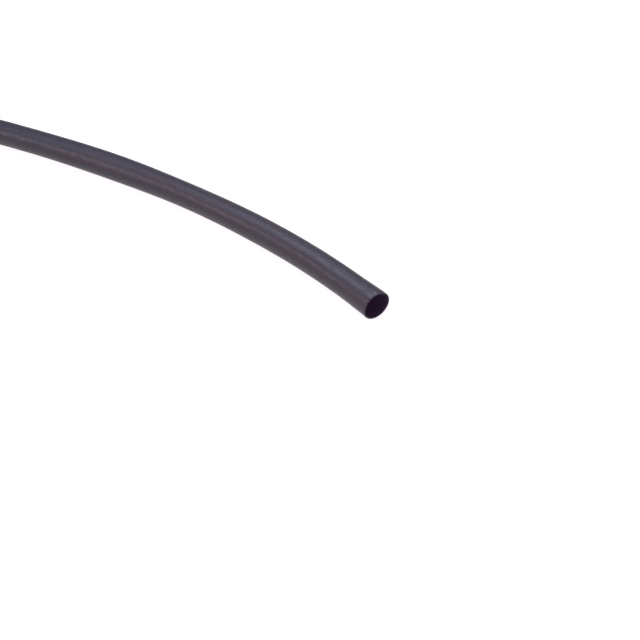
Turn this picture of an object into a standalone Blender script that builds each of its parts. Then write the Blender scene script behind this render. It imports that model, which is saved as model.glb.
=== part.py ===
"""A cut piece of thin-wall heat shrink tube, lying on a level surface with the curl that it keeps from its reel.

The tube is one extruded piece, open at both ends. It lies flat on z = 0, and its front end is cut square to +X.
From there it runs back along -X and curls towards -Y, more tightly at the front than at the back.
"""

import math

import bpy

# The tube, in metres
LENGTH = 0.1524  # along the middle of the tube: a six inch piece
BORE_DIAMETER = 0.0065  # as supplied, before it is shrunk
WALL = 0.00035
FRONT_CURL_RADIUS = 0.211  # to the middle of the tube
BACK_CURL_RADIUS = 0.515
SQUARE_END = 0.0012  # straight stretch at each end, where the blade held it

# How finely its round stretches are divided
STATION_STEP = 0.0042
SIDES = 32
CURVE_SIDES_AT_ZERO = 4  # a bevelled curve has this many sides at resolution 0, and two more for each step

TUBE_COLOUR = (0.055, 0.050, 0.066, 1.0)
TUBE_ROUGHNESS = 0.46

OUTER_RADIUS = BORE_DIAMETER / 2 + WALL


def clear_scene():
    for old in list(bpy.data.objects):
        bpy.data.objects.remove(old, do_unlink=True)


def polyolefin():
    """Black cross-linked polyolefin with a satin skin."""
    material = bpy.data.materials.new("black_polyolefin")
    material.use_nodes = True
    shader = material.node_tree.nodes["Principled BSDF"]
    shader.inputs["Base Color"].default_value = TUBE_COLOUR
    shader.inputs["Roughness"].default_value = TUBE_ROUGHNESS
    shader.inputs["Metallic"].default_value = 0.0
    return material


def heading(distance, curled_length):
    """How far the tube has turned, in radians, at that distance back from where its curl starts."""
    front, back = 1 / FRONT_CURL_RADIUS, 1 / BACK_CURL_RADIUS
    return distance * (front + (back - front) * distance / (2 * curled_length))


def centreline():
    """Points down the middle of the tube, from the front end to the back, at the height where it rests on z = 0."""
    curled_length = LENGTH - 2 * SQUARE_END
    stations = math.ceil(curled_length / STATION_STEP)
    step = curled_length / stations
    turns = [heading((i + 0.5) * step, curled_length) for i in range(stations)]
    moves = [(0.0, SQUARE_END)] + [(turn, step) for turn in turns]
    moves.append((heading(curled_length, curled_length), SQUARE_END))
    x = y = 0.0
    points = [(x, y, OUTER_RADIUS)]
    for turn, move in moves:
        x -= move * math.cos(turn)
        y -= move * math.sin(turn)
        points.append((x, y, OUTER_RADIUS))
    return points


def sleeve(name, points):
    """A round tube along the points, open at both ends, with its wall inside the outer radius."""
    curve = bpy.data.curves.new(name, "CURVE")
    curve.dimensions = "3D"
    curve.bevel_depth = OUTER_RADIUS
    curve.bevel_resolution = (SIDES - CURVE_SIDES_AT_ZERO) // 2
    curve.use_fill_caps = False
    spline = curve.splines.new("POLY")
    spline.points.add(len(points) - 1)
    for point, place in zip(spline.points, points):
        point.co = (*place, 1.0)
    spline.use_smooth = True
    tube = bpy.data.objects.new(name, curve)
    wall = tube.modifiers.new("wall", "SOLIDIFY")
    wall.thickness = WALL
    wall.offset = -1
    return tube


def centre_on_origin(tube):
    """Moves the tube until the middle of its footprint is at the origin and its lowest line is at z = 0."""
    bpy.context.view_layer.update()
    evaluated = tube.evaluated_get(bpy.context.evaluated_depsgraph_get())
    mesh = evaluated.to_mesh()
    corners = [vertex.co.copy() for vertex in mesh.vertices]
    evaluated.to_mesh_clear()
    low = [min(corner[axis] for corner in corners) for axis in range(3)]
    high = [max(corner[axis] for corner in corners) for axis in range(3)]
    tube.location = (-(low[0] + high[0]) / 2, -(low[1] + high[1]) / 2, -low[2])


def build():
    clear_scene()
    parts = bpy.data.collections.new("heat_shrink_tube")
    bpy.context.scene.collection.children.link(parts)
    tube = sleeve("heat_shrink_tube", centreline())
    tube.data.materials.append(polyolefin())
    parts.objects.link(tube)
    centre_on_origin(tube)


build()
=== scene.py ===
"""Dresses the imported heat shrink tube: a curled, satin sleeve with a hand-cut mouth, in a plain studio.

Lengths are in metres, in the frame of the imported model.
"""

import math

import bpy
from bpy.props import FloatProperty, FloatVectorProperty, IntProperty, PointerProperty
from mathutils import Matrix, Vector


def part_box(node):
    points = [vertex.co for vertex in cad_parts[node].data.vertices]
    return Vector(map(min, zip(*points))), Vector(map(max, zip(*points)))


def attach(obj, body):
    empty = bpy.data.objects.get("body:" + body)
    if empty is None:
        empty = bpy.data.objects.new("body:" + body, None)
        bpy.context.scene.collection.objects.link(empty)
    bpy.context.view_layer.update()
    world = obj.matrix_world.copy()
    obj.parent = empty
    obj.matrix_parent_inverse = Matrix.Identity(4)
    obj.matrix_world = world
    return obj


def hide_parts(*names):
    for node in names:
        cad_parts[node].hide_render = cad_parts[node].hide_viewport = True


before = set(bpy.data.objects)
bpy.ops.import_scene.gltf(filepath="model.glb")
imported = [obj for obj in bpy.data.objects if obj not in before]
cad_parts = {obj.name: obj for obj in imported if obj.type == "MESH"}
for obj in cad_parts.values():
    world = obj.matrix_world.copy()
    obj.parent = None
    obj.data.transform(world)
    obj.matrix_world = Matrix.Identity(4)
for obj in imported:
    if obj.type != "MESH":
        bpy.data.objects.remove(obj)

bl_info = {
    "name": "Heat shrink tube",
    "version": (1, 0, 0),
    "blender": (4, 5, 0),
    "location": "3D View > Sidebar > Heat Shrink",
    "description": "Makes a curled piece of heat shrink tube and the studio that it is shown in",
    "category": "Add Mesh",
}

# Names
NODE = "heat_shrink_tube"
PIECE = "shrink_sleeve"
STRAIGHT = "lying_straight"  # the attribute that keeps each point's place from before the tube was curled

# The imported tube
LOW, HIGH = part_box(NODE)
OUTSIDE = HIGH.z - LOW.z
FRONT_CENTRE = Vector((HIGH.x, HIGH.y - OUTSIDE / 2, LOW.z + OUTSIDE / 2))

# The shaping of the tube
MILLIMETRE = 0.001
STATION_SPACING = 1.0 * MILLIMETRE  # between the points of the middle line
RING_CUTS = (5, 29)  # the length is cut into 6, and each of those into 30
SAME_RING = 0.1 * MILLIMETRE  # points closer than this along the tube are on one ring
LEAN_BACK = math.radians(-45)  # the roll that lays the line from the tube's middle to the viewer about level
OVALS = ((0.45, 1), (0.66, -1))  # share of the length; 1 is long towards the viewer, -1 across the view
BLADE_EDGE = math.radians(60)  # an edge that turns by more than this is one that the blade left
SMOOTH_EDGE = math.radians(40)  # an edge that turns by less than this is shaded smooth

# The skin, the bore and the cut rim
SKIN_COOL = (0.013, 0.010, 0.021)
SKIN_WARM = (0.022, 0.010, 0.018)
SKIN_SCUFF = (0.045, 0.038, 0.050)
SKIN_DUST = (0.110, 0.105, 0.110)
SKIN_RELIEF = 0.060 * MILLIMETRE
BORE_DARK = (0.016, 0.011, 0.018)
BORE_HAZE = (0.024, 0.017, 0.027)
BORE_PAINTED_GLOW = (0.0104, 0.0041, 0.0143)  # painted glow: the inner wall glows faintly, standing in for the light that bounces into the bore
BORE_RELIEF = 0.012 * MILLIMETRE
RIM_DARK = (0.040, 0.034, 0.042)
RIM_LIGHT = (0.060, 0.054, 0.064)
RIM_RELIEF = 0.015 * MILLIMETRE

# The floor
FLOOR_SIZE = 40
FLOOR_TINT = (1.0, 0.945, 0.98)  # colour of the light that comes up through the floor
FLOOR_RELIEF = 0.020 * MILLIMETRE
TOOTH_PER_METRE = 900.0

# The soft lights
COOL = (0.77, 0.75, 1.0)
PLAIN = (0.89, 0.87, 1.0)
WARM = (1.0, 0.66, 0.80)
SOFTBOXES = (  # name, azimuth from -Y towards +X, elevation, power, colour; angles in degrees
    ("overhead_box", 270, 70, 1.62, COOL),
    ("back_box", 215, 55, 1.06, COOL),
    ("left_high_box", 315, 55, 0.55, COOL),
    ("left_low_box", 330, 25, 0.75, PLAIN),
    ("front_low_box", 350, 18, 0.44, WARM),
)
SOFTBOX_DISTANCE = 0.60
MOUTH_BOX = ("mouth_box", 280, 52, 0.013, PLAIN)
MOUTH_BOX_DISTANCE = 0.13
SOFTBOX_SPREAD = 1 / 3  # a soft light's width, as a share of its distance

# The picture
SENSOR_WIDTH = 36
PICTURE_WIDTH = 640
MOUTH_PIXEL = (376.65, 305.95)  # where the middle of the front mouth is, from the picture's top left corner

# The colour sockets of a Mix node
MIX_FIRST, MIX_SECOND, MIX_RESULT = 6, 7, 2


class SleeveSizes(bpy.types.PropertyGroup):
    """The sizes of the tube."""

    length: FloatProperty(
        name="Length",
        description="Length along the middle of the tube",
        default=0.1524,
        unit="LENGTH",
    )
    outside: FloatProperty(
        name="Outside diameter",
        description="Diameter over the skin",
        default=OUTSIDE,
        unit="LENGTH",
    )
    wall: FloatProperty(
        name="Wall",
        description="Thickness of the wall as supplied",
        default=0.00035,
        unit="LENGTH",
    )
    front_curl: FloatProperty(
        name="Front curl radius",
        description="Radius that the tube curls to near its front end",
        default=0.211,
        unit="LENGTH",
    )
    back_curl: FloatProperty(
        name="Back curl radius",
        description="Radius that the tube curls to near its back end",
        default=0.515,
        unit="LENGTH",
    )
    square_end: FloatProperty(
        name="Square end",
        description="Straight stretch at each end",
        default=0.0012,
        unit="LENGTH",
    )
    mouth_squash: FloatProperty(
        name="Mouth squash",
        description="How much wider and lower the cut pressed the front mouth, as a share of its diameter",
        default=0.022,
        subtype="FACTOR",
    )
    squash_reach: FloatProperty(
        name="Squash reach",
        description="How far back from the mouth the section is round again",
        default=0.030,
        unit="LENGTH",
    )
    lip_flare: FloatProperty(
        name="Lip flare",
        description="How much the lip of the front mouth opens, as a share of its diameter",
        default=0.0245,
        subtype="FACTOR",
    )
    lip_reach: FloatProperty(
        name="Lip reach",
        description="How far back from the mouth the lip starts to open",
        default=0.010,
        unit="LENGTH",
    )
    lip_lean: FloatProperty(
        name="Lip lean",
        description="How much longer across the view the lip is pressed, as a share of its diameter",
        default=0.0225,
        subtype="FACTOR",
    )
    cut_slant: FloatProperty(
        name="Cut slant",
        description="How far the cut at the front mouth is off square",
        default=math.radians(2.8),
        subtype="ANGLE",
    )
    slant_reach: FloatProperty(
        name="Slant reach",
        description="How far back from the mouth the slant fades out",
        default=0.004,
        unit="LENGTH",
    )
    ovalness: FloatProperty(
        name="Ovalness",
        description="How far the section is pressed out of round part way along, as a share of its diameter",
        default=0.037,
        subtype="FACTOR",
    )
    oval_reach: FloatProperty(
        name="Oval reach",
        description="How far from such a place the section is round again",
        default=0.026,
        unit="LENGTH",
    )
    rim_rounding: FloatProperty(
        name="Rim rounding",
        description="Width of the rounding on the edges that the blade left",
        default=0.00005,
        unit="LENGTH",
    )
    sides: IntProperty(
        name="Sides",
        description="Flat strips round the tube",
        default=96,
    )


class StudioLook(bpy.types.PropertyGroup):
    """The floor, the light and the view."""

    floor_colour: FloatVectorProperty(
        name="Floor colour",
        description="Colour that the floor gives back of the light that falls on it",
        default=(0.25, 0.25, 0.25),
        subtype="COLOR",
    )
    floor_glow: FloatProperty(
        name="Floor glow",
        description="Strength of the light that comes up through the floor and keeps it white",
        default=0.95,
    )
    sky_colour: FloatVectorProperty(
        name="Room colour",
        description="Colour of the even light that fills the room",
        default=(0.45, 0.45, 0.45),
        subtype="COLOR",
    )
    azimuth: FloatProperty(
        name="Azimuth",
        description="Direction that the camera stands in, from -Y towards +X",
        default=math.radians(53.91),
        subtype="ANGLE",
    )
    elevation: FloatProperty(
        name="Elevation",
        description="How steeply the camera looks down",
        default=math.radians(37.23),
        subtype="ANGLE",
    )
    distance: FloatProperty(
        name="Distance",
        description="From the camera to the front mouth, along the view",
        default=0.28855,
        unit="LENGTH",
    )
    field_of_view: FloatProperty(
        name="Field of view",
        description="Angle across the picture",
        default=math.radians(29.76),
        subtype="ANGLE",
    )


def clear_selection():
    """Leaves edit mode and deselects every object."""
    if bpy.context.object and bpy.context.object.mode != "OBJECT":
        bpy.ops.object.mode_set(mode="OBJECT")
    bpy.ops.object.select_all(action="DESELECT")


def pick(thing):
    """Makes one object the only selected one, and the active one."""
    clear_selection()
    thing.select_set(True)
    bpy.context.view_layer.objects.active = thing


def select_only(tube, mode, chosen):
    """Goes to edit mode with just the chosen points or edges of the tube selected."""
    pick(tube)
    bpy.ops.object.mode_set(mode="EDIT")
    bpy.ops.mesh.select_mode(type=mode)
    bpy.ops.mesh.select_all(action="DESELECT")
    bpy.ops.object.mode_set(mode="OBJECT")
    for part in tube.data.vertices if mode == "VERT" else tube.data.edges:
        part.select = chosen(part)
    bpy.ops.object.mode_set(mode="EDIT")


def finish_with(tube, name, kind, **settings):
    """Adds a modifier with those settings and applies it."""
    pick(tube)
    modifier = tube.modifiers.new(name, kind)
    for setting, value in settings.items():
        setattr(modifier, setting, value)
    bpy.ops.object.modifier_apply(modifier=name)


def heading(distance, curled_length, sizes):
    """How far the tube has turned, in radians, at that distance back from where its curl starts."""
    front, back = 1 / sizes.front_curl, 1 / sizes.back_curl
    return distance * (front + (back - front) * distance / (2 * curled_length))


def centreline(sizes):
    """Points down the middle of the tube, from the front mouth to the back end."""
    curled_length = sizes.length - 2 * sizes.square_end
    stations = math.ceil(curled_length / STATION_SPACING)
    move = curled_length / stations
    turns = [heading((i + 0.5) * move, curled_length, sizes) for i in range(stations)]
    moves = [(0.0, sizes.square_end)] + [(turn, move) for turn in turns]
    moves.append((heading(curled_length, curled_length, sizes), sizes.square_end))
    point = FRONT_CENTRE.copy()
    points = [point.copy()]
    for turn, move in moves:
        point -= Vector((math.cos(turn), math.sin(turn), 0)) * move
        points.append(point.copy())
    return points


def route(points):
    """A curve through the points, for the straight tube to be bent along."""
    curve = bpy.data.curves.new("route", "CURVE")
    curve.dimensions = "3D"
    curve.twist_mode = "Z_UP"
    spline = curve.splines.new("POLY")
    spline.points.add(len(points) - 1)
    for point, place in zip(spline.points, points):
        point.co = (*place, 1.0)
    guide = bpy.data.objects.new("route", curve)
    bpy.context.scene.collection.objects.link(guide)
    return guide


def runs_lengthwise(tube, edge):
    """Says whether an edge of the straight tube runs along it."""
    a, b = (tube.data.vertices[i].co for i in edge.vertices)
    return abs(a.x - b.x) > abs(a.y - b.y) + abs(a.z - b.z)


def straight_tube(sizes):
    """The tube's outer skin, straight along +X from the origin, in short rings."""
    bpy.ops.mesh.primitive_cylinder_add(
        vertices=sizes.sides,
        radius=sizes.outside / 2,
        depth=sizes.length,
        end_fill_type="NOTHING",
        location=(sizes.length / 2, 0, 0),
        rotation=(0, math.radians(90), 0),
    )
    tube = bpy.context.object
    tube.name = PIECE
    bpy.ops.object.transform_apply(location=True, rotation=True, scale=True)
    for cuts in RING_CUTS:
        select_only(tube, "EDGE", lambda edge: runs_lengthwise(tube, edge))
        bpy.ops.mesh.subdivide(number_cuts=cuts)
        bpy.ops.object.mode_set(mode="OBJECT")
    return tube


def roll(tube, angle):
    """Turns the straight tube about its own length."""
    pick(tube)
    tube.rotation_euler.x = angle
    bpy.ops.object.transform_apply(location=False, rotation=True, scale=False)


def ease(tube, place, reach, scale=(1, 1, 1), lift=0.0, slant=0.0):
    """Scales, lifts and slants the ring nearest to the place, and the rings within reach less and less."""
    nearest = min(abs(point.co.x - place) for point in tube.data.vertices)
    select_only(tube, "VERT", lambda point: abs(point.co.x - place) < nearest + SAME_RING)
    soft = {
        "use_proportional_edit": True,
        "proportional_edit_falloff": "SMOOTH",
        "proportional_size": reach,
    }
    bpy.ops.transform.resize(value=scale, center_override=(place, 0, 0), **soft)
    bpy.ops.transform.translate(value=(0, 0, lift), **soft)
    bpy.ops.transform.rotate(value=slant, orient_axis="Y", center_override=(place, 0, 0), **soft)
    bpy.ops.object.mode_set(mode="OBJECT")


def ease_leaning(tube, place, reach, **changes):
    """Eases the section in directions that lean back with the view."""
    roll(tube, LEAN_BACK)
    ease(tube, place, reach, **changes)
    roll(tube, -LEAN_BACK)


def press_oval(tube, place, reach, share):
    """Presses the tube oval at one place: long towards the viewer, or across the view for a share under 0."""
    ease_leaning(tube, place, reach, scale=(1, 1 + share, 1 - share))


def shape_mouth(tube, sizes):
    """Presses the front mouth wide and low, opens its lip and slants its cut, each a little."""
    squash, flare, radius = sizes.mouth_squash, sizes.lip_flare, sizes.outside / 2
    ease(tube, 0.0, sizes.squash_reach, scale=(1, 1 + squash, 1 - squash), lift=-squash * radius)
    ease(tube, 0.0, sizes.lip_reach, scale=(1, 1 + flare, 1 + flare), lift=flare * radius)
    press_oval(tube, 0.0, sizes.lip_reach, -sizes.lip_lean)
    ease_leaning(tube, 0.0, sizes.slant_reach, slant=sizes.cut_slant)


def remember_straight(tube):
    """Stores every point's place on the straight tube, which the materials' patterns follow."""
    kept = tube.data.attributes.new(STRAIGHT, "FLOAT_VECTOR", "POINT")
    places = [0.0] * (3 * len(tube.data.vertices))
    tube.data.vertices.foreach_get("co", places)
    kept.data.foreach_set("vector", places)


def make_tube(sizes):
    """Shapes the tube while it is straight, gives it its wall and its finishes, and curls it."""
    clear_selection()
    points = centreline(sizes)
    tube = straight_tube(sizes)
    shape_mouth(tube, sizes)
    for share_of_length, way in OVALS:
        press_oval(tube, sizes.length * share_of_length, sizes.oval_reach, sizes.ovalness * way)
    for material in (skin(), bore(), cut_rim()):
        tube.data.materials.append(material)
    finish_with(
        tube,
        "wall",
        "SOLIDIFY",
        thickness=sizes.wall,
        offset=-1,
        material_offset=1,
        material_offset_rim=2,
    )
    finish_with(
        tube,
        "rim",
        "BEVEL",
        width=sizes.rim_rounding,
        segments=2,
        limit_method="ANGLE",
        angle_limit=BLADE_EDGE,
    )
    remember_straight(tube)
    guide = route(points)
    finish_with(tube, "curl", "CURVE", object=guide, deform_axis="POS_X")
    bpy.data.objects.remove(guide, do_unlink=True)
    pick(tube)
    bpy.ops.object.shade_smooth_by_angle(angle=SMOOTH_EDGE)
    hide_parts(NODE)
    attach(tube, "root")


class Signal:
    """A number that a node gives out. Python's arithmetic on it adds Math nodes."""

    def __init__(self, finish, socket):
        self.finish = finish
        self.socket = socket

    def math(self, operation, other):
        return self.finish.node("ShaderNodeMath", {"operation": operation}, {0: self, 1: other})

    def __add__(self, other):
        return self.math("ADD", other)

    def __sub__(self, other):
        return self.math("SUBTRACT", other)

    def __mul__(self, other):
        return self.math("MULTIPLY", other)

    __radd__ = __add__


class Finish:
    """One material, with the nodes that lead to its Principled shader."""

    def __init__(self, name):
        self.material = bpy.data.materials.new(name)
        self.material.use_nodes = True
        self.tree = self.material.node_tree
        self.shader = self.tree.nodes["Principled BSDF"]

    def feed(self, socket, value):
        """Gives a socket its value, or links it to the node that the value comes from."""
        if isinstance(value, Signal):
            self.tree.links.new(value.socket, socket)
        elif socket.type == "RGBA":
            socket.default_value = (*value, 1)
        else:
            socket.default_value = value

    def node(self, kind, settings, values, output=0):
        """Adds a node, with its settings made before its sockets are fed."""
        made = self.tree.nodes.new(kind)
        for setting, value in settings.items():
            setattr(made, setting, value)
        for socket, value in values.items():
            self.feed(made.inputs[socket], value)
        return Signal(self, made.outputs[output])

    def show(self, **values):
        """Feeds the shader's own sockets, named in words joined by underscores."""
        for words, value in values.items():
            self.feed(self.shader.inputs[words.replace("_", " ")], value)

    def pattern(self, lengths, detail=2.0, roughness=0.5):
        """Noise round 0.5 whose marks have those lengths along the tube, across it and up, in millimetres."""
        place = self.node("ShaderNodeAttribute", {"attribute_name": STRAIGHT}, {}, output="Vector")
        per_metre = [1 / (length * MILLIMETRE) for length in lengths]
        stretched = self.node("ShaderNodeVectorMath", {"operation": "MULTIPLY"}, {0: place, 1: per_metre})
        values = {"Vector": stretched, "Scale": 1.0, "Detail": detail, "Roughness": roughness}
        return self.node("ShaderNodeTexNoise", {}, values)

    def above(self, signal, low, high):
        """0 under low, 1 over high, and smooth between."""
        values = {"Value": signal, "From Min": low, "From Max": high}
        return self.node("ShaderNodeMapRange", {"interpolation_type": "SMOOTHSTEP"}, values)

    def blend(self, share, first, second):
        """One colour turning into the other as the share goes from 0 to 1."""
        values = {"Factor": share, MIX_FIRST: first, MIX_SECOND: second}
        return self.node("ShaderNodeMix", {"data_type": "RGBA"}, values, output=MIX_RESULT)

    def relief(self, height, depth):
        """A bumped normal, from a height of 0 to 1 that stands for that depth in metres."""
        return self.node("ShaderNodeBump", {}, {"Strength": 1.0, "Distance": depth, "Height": height})


def skin():
    """Satin black polyolefin: drawn lengthwise by the die, softly mottled, wandering from cool to warm."""
    finish = Finish("sleeve_skin")
    die_lines = finish.pattern((60, 0.35, 0.35), detail=3.0, roughness=0.6)
    flow = finish.pattern((90, 2.2, 2.2))
    bloom = finish.pattern((9, 4, 4), detail=3.0)
    mottle = finish.pattern((1.8, 0.7, 0.7), detail=3.0, roughness=0.6)
    grain = finish.pattern((0.09, 0.07, 0.07))
    streaks = finish.pattern((7, 0.22, 0.22), detail=4.0, roughness=0.7)
    specks = finish.pattern((0.16, 0.16, 0.16), detail=0.0)
    scuffs = finish.above(streaks, low=0.66, high=0.80)
    dust = finish.above(specks, low=0.80, high=0.86)
    warmth = finish.above(flow * 0.6 + bloom * 0.4, low=0.38, high=0.62)
    unworn = finish.blend(warmth, SKIN_COOL, SKIN_WARM)
    worn = finish.blend(scuffs * 0.5, unworn, SKIN_SCUFF)
    height = mottle * 0.8 + flow * 0.07 + die_lines * 0.03 + grain * 0.05 - scuffs * 0.03
    finish.show(
        Base_Color=finish.blend(dust * 0.35, worn, SKIN_DUST),
        Roughness=0.14 + bloom * 0.08 + mottle * 0.44 + grain * 0.06 + scuffs * 0.10,
        Specular_IOR_Level=0.43,
        Normal=finish.relief(height, SKIN_RELIEF),
    )
    return finish.material


def bore():
    """The inner wall, darker and smoother, drawn lengthwise by the mandrel, with a faint painted glow that
    stands in for light bounced into the bore.
    """
    finish = Finish("sleeve_bore")
    drawn = finish.pattern((50, 0.5, 0.5), detail=3.0)
    haze = finish.pattern((3, 1.5, 1.5), detail=3.0)
    finish.show(
        Base_Color=finish.blend(haze, BORE_DARK, BORE_HAZE),
        Roughness=0.42 + haze * 0.16,
        Specular_IOR_Level=0.35,
        # painted light: a faint glow that lifts the bore's darkness in place of bounced light
        Emission_Color=BORE_PAINTED_GLOW,
        Emission_Strength=1.0,
        Normal=finish.relief(drawn, BORE_RELIEF),
    )
    return finish.material


def cut_rim():
    """The sheared wall: dull, with the blade's fine drag lines running downwards."""
    finish = Finish("sleeve_rim")
    drag = finish.pattern((0.5, 0.06, 1.2), detail=3.0, roughness=0.6)
    tear = finish.pattern((0.2, 0.2, 0.2), detail=3.0)
    finish.show(
        Base_Color=finish.blend(drag, RIM_DARK, RIM_LIGHT),
        Roughness=0.52 + tear * 0.16,
        Specular_IOR_Level=0.4,
        Normal=finish.relief(drag * 0.7 + tear * 0.3, RIM_RELIEF),
    )
    return finish.material


def floor_pane(colour, glow):
    """A light table's milky pane, with a barely visible tooth."""
    finish = Finish("floor_white")
    place = finish.node("ShaderNodeTexCoord", {}, {}, output="Object")
    tooth = finish.node("ShaderNodeTexNoise", {}, {"Vector": place, "Scale": TOOTH_PER_METRE, "Detail": 2.0})
    finish.show(
        Base_Color=colour,
        Roughness=0.9,
        Specular_IOR_Level=0.0,
        Emission_Color=FLOOR_TINT,
        Emission_Strength=glow,
        Normal=finish.relief(tooth, FLOOR_RELIEF),
    )
    return finish.material


def make_floor(look):
    """The level floor that the tube lies on."""
    bpy.ops.mesh.primitive_plane_add(size=FLOOR_SIZE, location=(0, 0, LOW.z))
    floor = bpy.context.object
    floor.name = "floor"
    floor.data.materials.append(floor_pane(tuple(look.floor_colour), look.floor_glow))


def make_room(look):
    """The even light that fills the room."""
    world = bpy.data.worlds.new("room")
    world.use_nodes = True
    world.node_tree.nodes["Background"].inputs["Color"].default_value = (*look.sky_colour, 1)
    bpy.context.scene.world = world


def softbox(name, azimuth, elevation, power, colour, target, distance):
    """A square soft light turned towards the target. Its azimuth and elevation are in degrees."""
    turn, rise = math.radians(azimuth), math.radians(elevation)
    level = math.cos(rise)
    outwards = Vector((math.sin(turn) * level, -math.cos(turn) * level, math.sin(rise)))
    light = bpy.data.lights.new(name, "AREA")
    light.shape = "SQUARE"
    light.size = distance * SOFTBOX_SPREAD
    light.energy = power
    light.color = colour
    lamp = bpy.data.objects.new(name, light)
    lamp.location = target + outwards * distance
    lamp.rotation_euler = (-outwards).to_track_quat("-Z", "Y").to_euler()
    lamp.visible_camera = False
    bpy.context.scene.collection.objects.link(lamp)


def make_lights():
    """The soft lights round the tube, and a small one close to its mouth."""
    middle = (LOW + HIGH) / 2
    for box in SOFTBOXES:
        softbox(*box, middle, SOFTBOX_DISTANCE)
    softbox(*MOUTH_BOX, FRONT_CENTRE, MOUTH_BOX_DISTANCE)


def make_camera(look):
    """The camera, placed so that the front mouth is at its pixel."""
    data = bpy.data.cameras.new("camera")
    data.sensor_width = SENSOR_WIDTH
    data.angle = look.field_of_view
    camera = bpy.data.objects.new("camera", data)
    bpy.context.scene.collection.objects.link(camera)
    level = Vector((-math.sin(look.azimuth), math.cos(look.azimuth), 0))
    forward = level * math.cos(look.elevation) - Vector((0, 0, math.sin(look.elevation)))
    right = Vector((math.cos(look.azimuth), math.sin(look.azimuth), 0))
    up = right.cross(forward)
    pixels_per_slope = PICTURE_WIDTH / 2 / math.tan(look.field_of_view / 2)
    across = (MOUTH_PIXEL[0] - PICTURE_WIDTH / 2) / pixels_per_slope
    above = (PICTURE_WIDTH / 2 - MOUTH_PIXEL[1]) / pixels_per_slope
    camera.location = FRONT_CENTRE - (forward + right * across + up * above) * look.distance
    camera.rotation_euler = forward.to_track_quat("-Z", "Y").to_euler()
    bpy.context.scene.camera = camera


class OBJECT_OT_shrink_sleeve(bpy.types.Operator):
    """Makes the curled heat shrink tube."""

    bl_idname = "object.shrink_sleeve"
    bl_label = "Heat shrink tube"

    def execute(self, context):
        make_tube(context.scene.sleeve_sizes)
        return {"FINISHED"}


class SCENE_OT_shrink_studio(bpy.types.Operator):
    """Makes the floor, the light and the camera."""

    bl_idname = "scene.shrink_studio"
    bl_label = "Studio"

    def execute(self, context):
        look = context.scene.studio_look
        clear_selection()
        make_floor(look)
        make_room(look)
        make_lights()
        make_camera(look)
        context.scene.view_settings.view_transform = "Standard"
        return {"FINISHED"}


class VIEW3D_PT_heat_shrink(bpy.types.Panel):
    """Shows the sizes of the tube and the look of the studio, each with its button."""

    bl_label = "Heat Shrink Tube"
    bl_space_type = "VIEW_3D"
    bl_region_type = "UI"
    bl_category = "Heat Shrink"

    def draw(self, context):
        for group, make in (
            (context.scene.sleeve_sizes, OBJECT_OT_shrink_sleeve),
            (context.scene.studio_look, SCENE_OT_shrink_studio),
        ):
            box = self.layout.box()
            for name in group.__annotations__:
                box.prop(group, name)
            box.operator(make.bl_idname)


CLASSES = (
    SleeveSizes,
    StudioLook,
    OBJECT_OT_shrink_sleeve,
    SCENE_OT_shrink_studio,
    VIEW3D_PT_heat_shrink,
)


def register():
    for part in CLASSES:
        bpy.utils.register_class(part)
    bpy.types.Scene.sleeve_sizes = PointerProperty(type=SleeveSizes)
    bpy.types.Scene.studio_look = PointerProperty(type=StudioLook)


def unregister():
    del bpy.types.Scene.studio_look
    del bpy.types.Scene.sleeve_sizes
    for part in reversed(CLASSES):
        bpy.utils.unregister_class(part)


def main():
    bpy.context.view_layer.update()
    register()
    bpy.ops.object.shrink_sleeve()
    bpy.ops.scene.shrink_studio()


if __name__ == "__main__":
    main()
